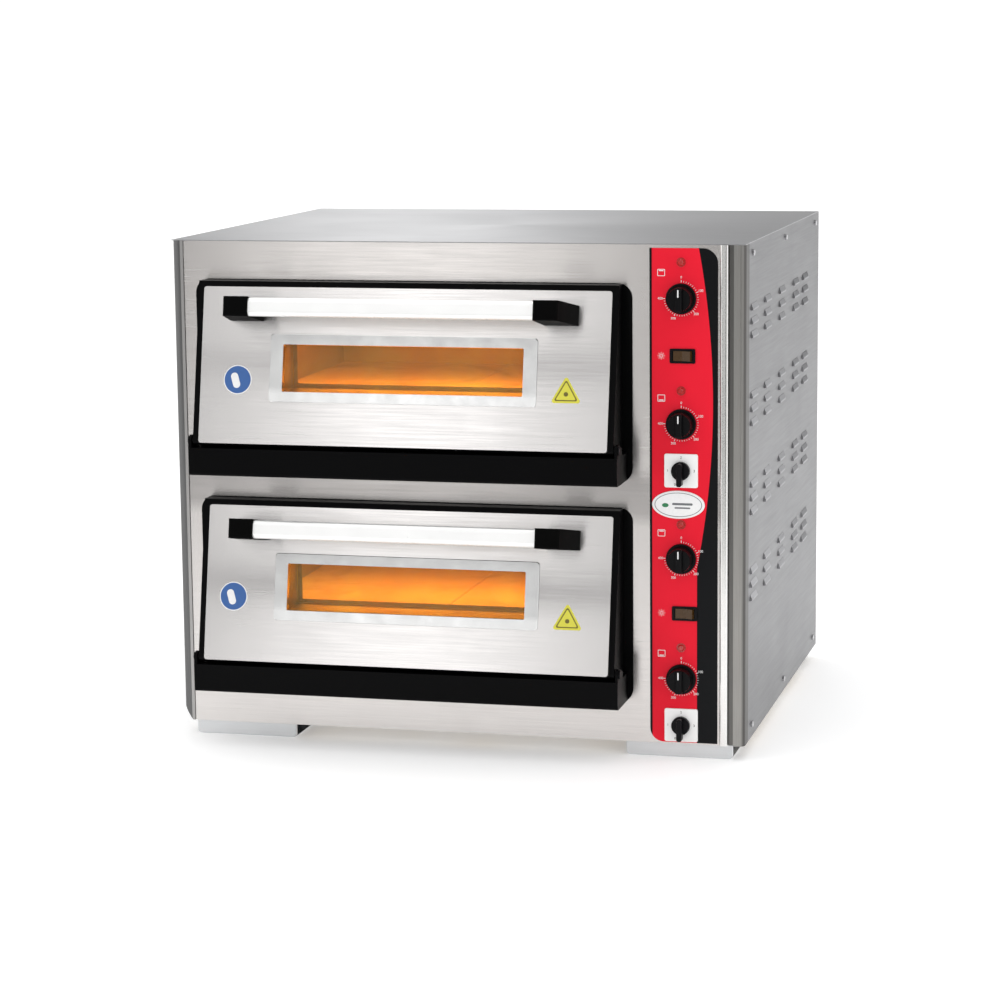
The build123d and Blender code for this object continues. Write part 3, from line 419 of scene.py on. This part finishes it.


# places where painted light or shade changes a sheet's colour: a painted highlight on the louvre hoods and on
# the left profile's inner bead, painted shade behind the right profile's land and between the decks, and
# painted light and shade up each window trim
hood_reach = 0.0026
bead_width = 0.0045
land_depth = 0.002
groove_start_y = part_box("right_edge_trim")[0].y + land_depth
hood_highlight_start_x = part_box("right_side_panel")[1].x - hood_reach
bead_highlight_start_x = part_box("left_edge_trim")[1].x - bead_width
between_decks_z = (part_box("upper_hinge_sill")[0].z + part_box("lower_door_panel")[1].z) / 2
deck_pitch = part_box("upper_window_trim")[0].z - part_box("lower_window_trim")[0].z
trim_foot, trim_head = (corner.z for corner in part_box("lower_window_trim"))
# painted light and shade up each window trim: full brightness near its foot, darker towards its head
trim_painted_light = ((trim_foot + 0.012, 1.0), (trim_foot + 0.022, 0.8),
               (trim_head - 0.014, 0.72), (trim_head, 0.66))
finishes = {
    "fascia_steel": brushed_steel("fascia_steel", (0.70, 0.67, 0.65), 0.21, shade_band_z=between_decks_z),
    "door_steel": brushed_steel("door_steel", (0.72, 0.70, 0.69), 0.21),
    "casing_steel": brushed_steel("casing_steel", (0.29, 0.29, 0.30), 0.42, hood_highlight_x=hood_highlight_start_x),
    "top_steel": brushed_steel("top_steel", (0.44, 0.44, 0.45), 0.36, along=(1, 0, 0), anisotropy=0.2),
    "zinc_steel": chamber_metal("zinc_steel", (0.6, 0.61, 0.62), 0.45),
    "foot_steel": brushed_steel("foot_steel", (0.74, 0.75, 0.76), 0.32),
    "screw_steel": polished_steel("screw_steel", (0.55, 0.55, 0.56), 0.25),
    "edge_steel": corner_steel("edge_steel", (0.40, 0.39, 0.37), (0.12, 0.115, 0.11), groove_start_y),
    "dark_edge": corner_steel("dark_edge", (0.17, 0.17, 0.17), (0.14, 0.14, 0.14), bead_highlight_x=bead_highlight_start_x),
    "trim_chrome": polished_steel("trim_chrome", (0.84, 0.83, 0.81), 0.16),
    "window_steel": polished_steel("window_steel", (0.86, 0.86, 0.855), 0.16, 0.95, 1.0,
                                   deck_pitch, trim_painted_light),
    "handle_steel": polished_steel("handle_steel", (0.99, 0.99, 0.98), 0.24, 0.98, 0.5),
    "chamber_steel": chamber_metal("chamber_steel", (0.58, 0.55, 0.5), 0.42),
    "liner_steel": chamber_metal("liner_steel", (0.66, 0.65, 0.63), 0.36),
    "pin_steel": enamel("pin_steel", (0.008, 0.008, 0.009), 0.4, 0.1),
    "heater_steel": heater(),
    "black_enamel": enamel("black_enamel", (0.0012, 0.0012, 0.0014), 0.34, 0.06),
    "firebrick": firebrick(),
    "mineral_wool": mineral_wool(),
    "woven_seal": woven_seal(),
    "window_glass": tinted_glass("window_glass", (1.0, 0.81, 0.48), 0.97),
    "lamp_glass": tinted_glass("lamp_glass", (1.0, 0.8, 0.45), 0.3, 5.0, (1.0, 0.62, 0.22)),
    "lamp_cup": chamber_metal("lamp_cup", (0.75, 0.74, 0.7), 0.4),
    "red_film": control_film(),
    "badge_white": printed("badge_white", (0.90, 0.90, 0.90)),
    "plate_white": plastic("plate_white", (0.86, 0.86, 0.85), 0.38),
    "switch_black": plastic("switch_black", (0.003, 0.003, 0.004), 0.34, 0.15, 0.12),
    "rocker_olive": plastic("rocker_olive", (0.055, 0.026, 0.006), 0.25, 0.1, 0.4),
    "knob_black": plastic("knob_black", (0.002, 0.002, 0.0025), 0.36, 0.2, 0.12),
    "handle_black": plastic("handle_black", (0.0012, 0.0012, 0.0012), 0.55, 0.25, 0.03),
    "pilot_red": pilot_lens(),
    "bakelite": plastic("bakelite", (0.06, 0.045, 0.04), 0.5),
    "gland_nylon": plastic("gland_nylon", (0.02, 0.02, 0.021), 0.5),
}
slot_of = {entry["node"]: entry["material_slot"] for entry in frame["record"]["subparts"]}


def finish_cad_nodes():
    """Every CAD node gets its slot's material."""
    for name, node in nodes.items():
        node.data.materials.clear()
        node.data.materials.append(finishes[slot_of[name]])


finish_cad_nodes()


# ---------------------------------------------------------------- printed and stuck-on pieces
def add_mesh(name, vertices, faces, material, body, bevel=0.0):
    """New piece from points and faces, riding on a body, with softened edges when a bevel width is given."""
    mesh = bpy.data.meshes.new(name)
    mesh.from_pydata([tuple(v) for v in vertices], [], faces)
    mesh.update()
    mesh.materials.append(material)
    piece = bpy.data.objects.new(name, mesh)
    bpy.context.scene.collection.objects.link(piece)
    if bevel > 0:
        rounding = piece.modifiers.new("edges", "BEVEL")
        rounding.width = bevel
        rounding.segments = 2
        rounding.limit_method = "ANGLE"
        rounding.angle_limit = math.radians(40)
    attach(piece, body)


def plate_shape(outlines, thickness, to_world):
    """Points and faces of flat plates: each outline is a closed list of local (x, y), local z is out."""
    vertices = []
    faces = []
    for outline in outlines:
        start = len(vertices)
        count = len(outline)
        for height in (0.0, thickness):
            vertices += [to_world @ Vector((x, y, height)) for x, y in outline]
        faces.append([start + i for i in reversed(range(count))])
        faces.append([start + count + i for i in range(count)])
        for i in range(count):
            j = (i + 1) % count
            faces.append([start + i, start + j, start + count + j, start + count + i])
    return vertices, faces


def ring_shape(outer, inner, thickness, to_world):
    """Points and faces of a flat ring between two outlines with the same number of points."""
    count = len(outer)
    vertices = []
    for outline in (outer, inner):
        for height in (0.0, thickness):
            vertices += [to_world @ Vector((x, y, height)) for x, y in outline]
    faces = []
    for i in range(count):
        j = (i + 1) % count
        low_out, high_out, low_in, high_in = (k * count for k in range(4))
        faces.append([low_out + i, low_out + j, high_out + j, high_out + i])
        faces.append([high_in + i, high_in + j, low_in + j, low_in + i])
        faces.append([high_out + i, high_out + j, high_in + j, high_in + i])
        faces.append([low_in + i, low_in + j, low_out + j, low_out + i])
    return vertices, faces


def add_plate(name, outlines, thickness, to_world, material, body="oven_body",
              bevel=0.0):
    """One piece made of flat plates."""
    vertices, faces = plate_shape(outlines, thickness, to_world)
    add_mesh(name, vertices, faces, material, body, bevel)


def add_ring(name, outer, inner, to_world, material, body="oven_body"):
    """One piece of film between two outlines."""
    vertices, faces = ring_shape(outer, inner, film, to_world)
    add_mesh(name, vertices, faces, material, body)


def ellipse(half_wide, half_high, centre=(0, 0), steps=64):
    """Points round an ellipse."""
    turn = 2 * math.pi / steps
    return [(centre[0] + half_wide * math.cos(i * turn), centre[1] + half_high * math.sin(i * turn))
            for i in range(steps)]


def rounded_outline(half_wide, half_high, radius, centre=(0, 0), steps=6):
    """Points round a rectangle with round corners."""
    points = []
    for quarter, (sx, sy) in enumerate(((1, 1), (-1, 1), (-1, -1), (1, -1))):
        cx = centre[0] + sx * (half_wide - radius)
        cy = centre[1] + sy * (half_high - radius)
        for step in range(steps + 1):
            angle = math.pi / 2 * (quarter + step / steps)
            points.append((cx + radius * math.cos(angle), cy + radius * math.sin(angle)))
    return points


def rounded_triangle(reach, radius, steps=6):
    """Points round a triangle that stands on its base; reach runs from the middle to a sharp corner."""
    points = []
    for corner in range(3):
        direction = math.radians(90 + 120 * corner)
        cx = (reach - 2 * radius) * math.cos(direction)
        cy = (reach - 2 * radius) * math.sin(direction)
        for step in range(steps + 1):
            angle = direction + math.radians(-60 + 120 * step / steps)
            points.append((cx + radius * math.cos(angle), cy + radius * math.sin(angle)))
    return points


def radial_bar(angle, inner, outer, width):
    """Outline of a short bar that points away from the middle; the angle runs clockwise from the top."""
    along = Vector((math.sin(angle), math.cos(angle)))
    across = Vector((along.y, -along.x)) * (width / 2)
    corners = (along * inner - across, along * inner + across, along * outer + across,
               along * outer - across)
    return [tuple(corner) for corner in corners]


def front_facing(x, y, z):
    """Placement of a local plane with x across, y up and z out of the front."""
    return Matrix.Translation((x, y, z)) @ Matrix.Rotation(math.pi / 2, 4, "X")


def door_front(deck, along, x):
    """Placement on the sloping panel of a door, a distance up it and across it from its middle foot."""
    low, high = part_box(f"{deck}_door_panel")
    lean = math.atan2(high.y - low.y - sheet, high.z - low.z)
    foot = Vector(((low.x + high.x) / 2 + x, low.y + math.sin(lean) * along,
                   low.z + sheet * math.sin(lean) + math.cos(lean) * along))
    return Matrix.Translation(foot) @ Matrix.Rotation(math.pi / 2 - lean, 4, "X")


ink_white = printed("ink_white", (0.86, 0.86, 0.86))
ink_grey = printed("ink_grey", (0.16, 0.17, 0.18))
ink_green = printed("ink_green", (0.02, 0.22, 0.08))
ink_blue = printed("ink_blue", (0.035, 0.12, 0.36))
ink_yellow = printed("ink_yellow", (0.70, 0.66, 0.06))
ink_olive = printed("ink_olive", (0.16, 0.13, 0.02))
ink_dark = printed("ink_dark", (0.05, 0.045, 0.02))

sheet = 0.0012
# thickness of print and stickers, and how far print on a knob or the badge sinks into it
film = 0.00025
seating = film * 0.2
# height of a figure, and the font size that a height of one takes
figure_height = 0.0036
em_per_height = 1.4
knob_places = ("upper_top", "upper_bottom", "lower_top", "lower_bottom")
dial_sweep = math.radians(270)
dial_labels = ("0", "100", "200", "300", "400")
ticks_per_label = 8
sign_left_of_lamps = 0.029
sign_above_knob = 0.037


def add_figure(name, label, place, material, body="oven_body"):
    """Raised figure or figures, centred on a place."""
    curve = bpy.data.curves.new(name, "FONT")
    curve.body = label
    curve.size = figure_height * em_per_height
    curve.align_x = "CENTER"
    curve.align_y = "CENTER"
    curve.extrude = film / 2
    draft = bpy.data.objects.new(f"{name}_draft", curve)
    mesh = bpy.data.meshes.new_from_object(draft)
    bpy.data.objects.remove(draft)
    mesh.name = name
    mesh.transform(place)
    mesh.materials.clear()
    mesh.materials.append(material)
    piece = bpy.data.objects.new(name, mesh)
    bpy.context.scene.collection.objects.link(piece)
    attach(piece, body)


def add_dial(place):
    """White scale printed round one thermostat knob, from nought at the top clockwise to 400."""
    low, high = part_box(f"{place}_knob")
    film_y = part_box("control_overlay")[0].y
    knob_radius = (high.x - low.x) / 2
    middle = front_facing((low.x + high.x) / 2, film_y, (low.z + high.z) / 2)
    tick_start = knob_radius + 0.0012
    figure_radius = knob_radius + 0.0085
    last = ticks_per_label * (len(dial_labels) - 1)
    bars = []
    for index in range(last + 1):
        long = index % ticks_per_label == 0
        reach, width = (0.0046, 0.0009) if long else (0.0034, 0.0006)
        bars.append(radial_bar(dial_sweep * index / last, tick_start, knob_radius + reach, width))
    add_plate(f"{place}_dial_ticks", bars, film, middle, ink_white)
    for index, label in enumerate(dial_labels):
        angle = dial_sweep * index / (len(dial_labels) - 1)
        side, rise = figure_radius * math.sin(angle), figure_radius * math.cos(angle)
        spot = middle @ Matrix.Translation((side, rise, film / 2))
        add_figure(f"{place}_dial_{label}", label, spot, ink_white)


def add_knob_line(place):
    """White pointer line on the grip of one thermostat knob, over its top half."""
    low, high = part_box(f"{place}_knob")
    radius = (high.x - low.x) / 2
    middle = front_facing((low.x + high.x) / 2, low.y + seating, (low.z + high.z) / 2)
    half_wide, half_long = 0.0009, 0.0055
    line = rounded_outline(half_wide, half_long, 0.0008, (0, radius * 0.42), 3)
    add_plate(f"{place}_knob_line", [line], film, middle, ink_white, f"{place}_knob")


def add_switch_figures(deck):
    """Figures 0 to 3 round one cam switch, clockwise from the lever's tip at rest."""
    low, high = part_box(f"{deck}_switch_knob")
    disc_radius = (high.x - low.x) / 2
    plate_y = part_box("cam_switch_plates")[0].y
    middle = front_facing((low.x + high.x) / 2, plate_y, high.z - disc_radius)
    figure_gap = 0.0058
    reach = disc_radius + figure_gap
    # the nought stands to the left of the lever's tip, which would hide it
    spots = ((-0.0088, -0.0200), (-reach, 0), (0, reach), (reach, 0))
    for figure, (side, rise) in enumerate(spots):
        spot = middle @ Matrix.Translation((side, rise, film / 2))
        add_figure(f"{deck}_switch_figure_{figure}", str(figure), spot, ink_dark)


def add_zone_signs():
    """Small white signs left of the lamps and rockers: a chamber outline with its hot side, and a lamp."""
    film_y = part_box("control_overlay")[0].y
    lamps_low, lamps_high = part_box("indicator_lamps")
    sign_x = (lamps_low.x + lamps_high.x) / 2 - sign_left_of_lamps
    outer = rounded_outline(0.0055, 0.0050, 0.0012)
    inner = rounded_outline(0.0047, 0.0042, 0.0008)
    for place in knob_places:
        low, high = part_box(f"{place}_knob")
        to_world = front_facing(sign_x, film_y, (low.z + high.z) / 2 + sign_above_knob)
        hot = 0.0028 if place.endswith("top") else -0.0028
        bar = rounded_outline(0.0034, 0.0007, 0.0006, (0, hot), 3)
        add_ring(f"{place}_zone_frame", outer, inner, to_world, ink_white)
        add_plate(f"{place}_zone_bar", [bar], film, to_world, ink_white)
    bulb = 0.0026
    rays = [radial_bar(math.pi / 4 * k, bulb * 1.35, bulb * 2.1, 0.0006) for k in range(8)]
    for deck in decks:
        low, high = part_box(f"{deck}_lamp_rocker")
        to_world = front_facing(sign_x, film_y, (low.z + high.z) / 2)
        add_ring(f"{deck}_lamp_sign_bulb", ellipse(bulb, bulb), ellipse(bulb * 0.7, bulb * 0.7), to_world,
                 ink_white)
        add_plate(f"{deck}_lamp_sign_rays", rays, film, to_world, ink_white)


def add_badge_print():
    """Plain print on the oval badge: a fine inset line, two bars and a spot."""
    low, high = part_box("oval_badge")
    half_wide = (high.x - low.x) / 2
    half_high = (high.z - low.z) / 2
    to_world = front_facing((low.x + high.x) / 2, low.y + seating, (low.z + high.z) / 2)
    outer = ellipse(half_wide * 0.90, half_high * 0.86)
    inner = ellipse(half_wide * 0.875, half_high * 0.82)
    bars = [
        rounded_outline(0.0150, 0.0016, 0.0015, (0.006, 0.0010), 3),
        rounded_outline(0.0115, 0.0011, 0.0010, (0.006, -0.0046), 3),
    ]
    add_ring("badge_line", outer, inner, to_world, ink_grey)
    add_plate("badge_bars", bars, film, to_world, ink_grey)
    add_plate("badge_spot", [ellipse(0.0048, 0.0030, (-0.019, -0.001))], film, to_world, ink_green)


# per deck: distance across the door from its middle, and up its slope
disc_places = {"upper": (-0.2492, 0.0938), "lower": (-0.2640, 0.0951)}
triangle_places = {"upper": (0.2441, 0.0828), "lower": (0.2441, 0.0781)}
sticker_radius = 0.0215


def add_stickers(deck):
    """Round blue sticker with a light drop, and a yellow three-sided one with a dark border, on a door."""
    body = f"{deck}_door"
    across, along = disc_places[deck]
    place = door_front(deck, along, across)
    add_plate(f"{deck}_round_sticker_rim", [ellipse(sticker_radius, sticker_radius)], film, place,
              ink_white, body)
    lift = place @ Matrix.Translation((0, 0, film))
    field = ellipse(sticker_radius * 0.93, sticker_radius * 0.93)
    add_plate(f"{deck}_round_sticker", [field], film, lift, ink_blue, body)
    lift = place @ Matrix.Translation((-0.003, -0.001, 2 * film)) @ Matrix.Rotation(0.3, 4, "Z")
    drop = rounded_outline(0.0055, 0.0115, 0.0054)
    add_plate(f"{deck}_round_sticker_drop", [drop], film, lift, ink_white, body)
    across, along = triangle_places[deck]
    place = door_front(deck, along, across)
    add_plate(f"{deck}_corner_sticker_rim", [rounded_triangle(0.0262, 0.0030)], film, place, ink_yellow, body)
    lift = place @ Matrix.Translation((0, 0, film))
    add_ring(f"{deck}_corner_sticker_line", rounded_triangle(0.0205, 0.0020),
             rounded_triangle(0.0175, 0.0014), lift, ink_olive, body)
    mark = ellipse(0.0032, 0.0032, (0, -0.0005))
    add_plate(f"{deck}_corner_sticker_mark", [mark], film, lift, ink_olive, body)


def add_rear_plate():
    """Blank riveted data plate on the back panel."""
    plate_x, plate_z = 0.235, 0.150
    half_wide, half_high = 0.045, 0.028
    thickness = 0.0008
    back_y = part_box("back_panel")[1].y
    to_world = Matrix.Translation((plate_x, back_y, plate_z)) @ Matrix.Rotation(math.pi, 4, "Z")
    to_world = to_world @ Matrix.Rotation(math.pi / 2, 4, "X")
    add_plate("rear_plate", [rounded_outline(half_wide, half_high, 0.003)], thickness, to_world,
              finishes["top_steel"], bevel=0.0002)
    lift = to_world @ Matrix.Translation((0, 0, thickness))
    outer = rounded_outline(half_wide - 0.003, half_high - 0.003, 0.002)
    inner = rounded_outline(half_wide - 0.0036, half_high - 0.0036, 0.0015)
    add_ring("rear_plate_line", outer, inner, lift, ink_grey)
    rivets = [ellipse(0.0016, 0.0016, (sx * (half_wide - 0.0055), sy * (half_high - 0.0055)), 20)
              for sx in (-1, 1) for sy in (-1, 1)]
    add_plate("rear_plate_rivets", rivets, 0.0009, lift, finishes["screw_steel"],
              bevel=0.0003)


for place in knob_places:
    add_dial(place)
    add_knob_line(place)
for deck in decks:
    add_switch_figures(deck)
    add_stickers(deck)
add_zone_signs()
add_badge_print()
add_rear_plate()


# ---------------------------------------------------------------- camera, floor and light
def look_matrix(place, azimuth, pitch, roll):
    """Camera matrix from a place, a heading, a downward pitch and a roll, in degrees."""
    a, e, r = (math.radians(angle) for angle in (azimuth, pitch, roll))
    ahead = Vector((-math.sin(a) * math.cos(e), math.cos(a) * math.cos(e), -math.sin(e)))
    right = Vector((math.cos(a), math.sin(a), 0))
    up = right.cross(ahead)
    right_rolled = right * math.cos(r) + up * math.sin(r)
    up_rolled = up * math.cos(r) - right * math.sin(r)
    matrix = Matrix((right_rolled, up_rolled, -ahead)).transposed().to_4x4()
    matrix.translation = place
    return matrix


def add_camera():
    """Camera at the three-quarter front view."""
    data = bpy.data.cameras.new("camera")
    data.sensor_width = 36
    data.lens = 106.3
    data.clip_end = 100
    camera = bpy.data.objects.new("camera", data)
    ahead_of_fascia = 4.130
    place = Vector((1.108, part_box("front_fascia")[0].y - ahead_of_fascia, 1.0627))
    azimuth, pitch, roll = 14.135, 9.188, -0.581
    camera.matrix_world = look_matrix(place, azimuth, pitch, roll)
    bpy.context.scene.collection.objects.link(camera)
    bpy.context.scene.camera = camera


def add_floor():
    """Wide pale floor that ends in front of the oven, out of the picture."""
    mesh = bpy.data.meshes.new("floor")
    reach = 40
    front = -1.9
    corners = [(-reach, front, 0), (reach, front, 0), (reach, reach, 0), (-reach, reach, 0)]
    mesh.from_pydata(corners, [], [(0, 1, 2, 3)])
    mesh.materials.append(pale_floor())
    floor = bpy.data.objects.new("floor", mesh)
    bpy.context.scene.collection.objects.link(floor)


def add_softbox(name, place, target, size, power, colour=(1, 1, 1)):
    """Rectangular area light aimed at a point."""
    data = bpy.data.lights.new(name, "AREA")
    data.shape = "RECTANGLE"
    data.size, data.size_y = size
    data.energy = power
    data.color = colour
    light = bpy.data.objects.new(name, data)
    light.location = place
    aim = Vector(target) - Vector(place)
    light.rotation_mode = "QUATERNION"
    light.rotation_quaternion = aim.to_track_quat("-Z", "Y")
    light.visible_camera = False
    bpy.context.scene.collection.objects.link(light)
    return light


def grey_ramp(tree, value, stops):
    """Colour ramp through (position, grey) stops in the world's tree; a value of -1 is at 0 and 1 at 1."""
    ramp = tree.nodes.new("ShaderNodeValToRGB")
    while len(ramp.color_ramp.elements) < len(stops):
        ramp.color_ramp.elements.new(0.5)
    for element, (position, grey) in zip(ramp.color_ramp.elements, stops):
        element.position = position
        element.color = (grey, grey, grey, 1)
    half = tree.nodes.new("ShaderNodeMath")
    half.operation = "MULTIPLY_ADD"
    tree.links.new(value, half.inputs[0])
    half.inputs[1].default_value = 0.5
    half.inputs[2].default_value = 0.5
    tree.links.new(half.outputs["Value"], ramp.inputs["Fac"])
    return ramp.outputs["Color"]


# greys that glossy surfaces mirror, as (position, grey); 0 is the far negative and 1 the far positive end
sky_across = ((0.0, 0.66), (0.17, 0.60), (0.25, 0.10), (0.322, 0.10), (0.332, 0.20), (0.342, 0.60),
              (0.351, 0.96), (0.363, 1.0), (0.376, 0.98), (0.383, 0.90), (0.390, 0.44), (0.404, 0.18),
              (0.50, 0.20), (0.58, 0.11), (0.70, 0.12), (0.79, 0.45), (0.88, 0.66), (1.0, 0.62))
sky_upward = ((0.375, 0.62), (0.42, 0.50), (0.455, 0.95), (0.50, 0.86), (0.575, 0.78), (0.645, 1.0),
              (0.75, 0.92))


def add_studio_sky():
    """White surroundings; in reflections, one tall bright panel at the front left between darker ones."""
    world = bpy.data.worlds.new("studio")
    world.use_nodes = True
    bpy.context.scene.world = world
    tree = world.node_tree
    plain = tree.nodes["Background"]
    plain.inputs["Color"].default_value = (1, 1, 1, 1)
    plain.inputs["Strength"].default_value = 1.06
    coords = tree.nodes.new("ShaderNodeTexCoord")
    split = tree.nodes.new("ShaderNodeSeparateXYZ")
    tree.links.new(coords.outputs["Generated"], split.inputs["Vector"])
    across = grey_ramp(tree, split.outputs["X"], sky_across)
    upward = grey_ramp(tree, split.outputs["Z"], sky_upward)
    cards = tree.nodes.new("ShaderNodeBackground")
    product = tree.nodes.new("ShaderNodeMix")
    product.data_type = "RGBA"
    product.blend_type = "MULTIPLY"
    product.inputs[0].default_value = 1.0
    tree.links.new(across, product.inputs[6])
    tree.links.new(upward, product.inputs[7])
    tree.links.new(product.outputs[2], cards.inputs["Color"])
    cards.inputs["Strength"].default_value = 2.25
    path = tree.nodes.new("ShaderNodeLightPath")
    mix = tree.nodes.new("ShaderNodeMixShader")
    tree.links.new(path.outputs["Is Glossy Ray"], mix.inputs["Fac"])
    tree.links.new(plain.outputs["Background"], mix.inputs[1])
    tree.links.new(cards.outputs["Background"], mix.inputs[2])
    tree.links.new(mix.outputs["Shader"], tree.nodes["World Output"].inputs["Surface"])


def add_chamber_lights():
    """Warm light inside each chamber, as from its lamp and hot elements."""
    depth = 0.25
    under_roof = 0.045
    for deck, power in (("lower", 1.3), ("upper", 1.55)):
        low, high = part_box(f"{deck}_chamber")
        stone_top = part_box(f"{deck}_baking_stones")[1].z
        middle_x = (low.x + high.x) / 2
        place = (middle_x, low.y + depth, high.z - under_roof)
        target = (middle_x, low.y + depth, stone_top)
        light = add_softbox(f"{deck}_glow", place, target, (0.5, 0.16), power, (1.0, 0.54, 0.21))
        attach(light, "oven_body")


bpy.context.scene.view_settings.view_transform = "Standard"
oven_middle = (0, 0, 0.4)
add_camera()
add_floor()
add_studio_sky()
add_softbox("key", place=(-2.6, -2.6, 3.2), target=oven_middle, size=(2.2, 2.2), power=10)
add_softbox("overhead", place=(0, 0.2, 3.2), target=oven_middle, size=(2.6, 2.6), power=14)
add_chamber_lights()
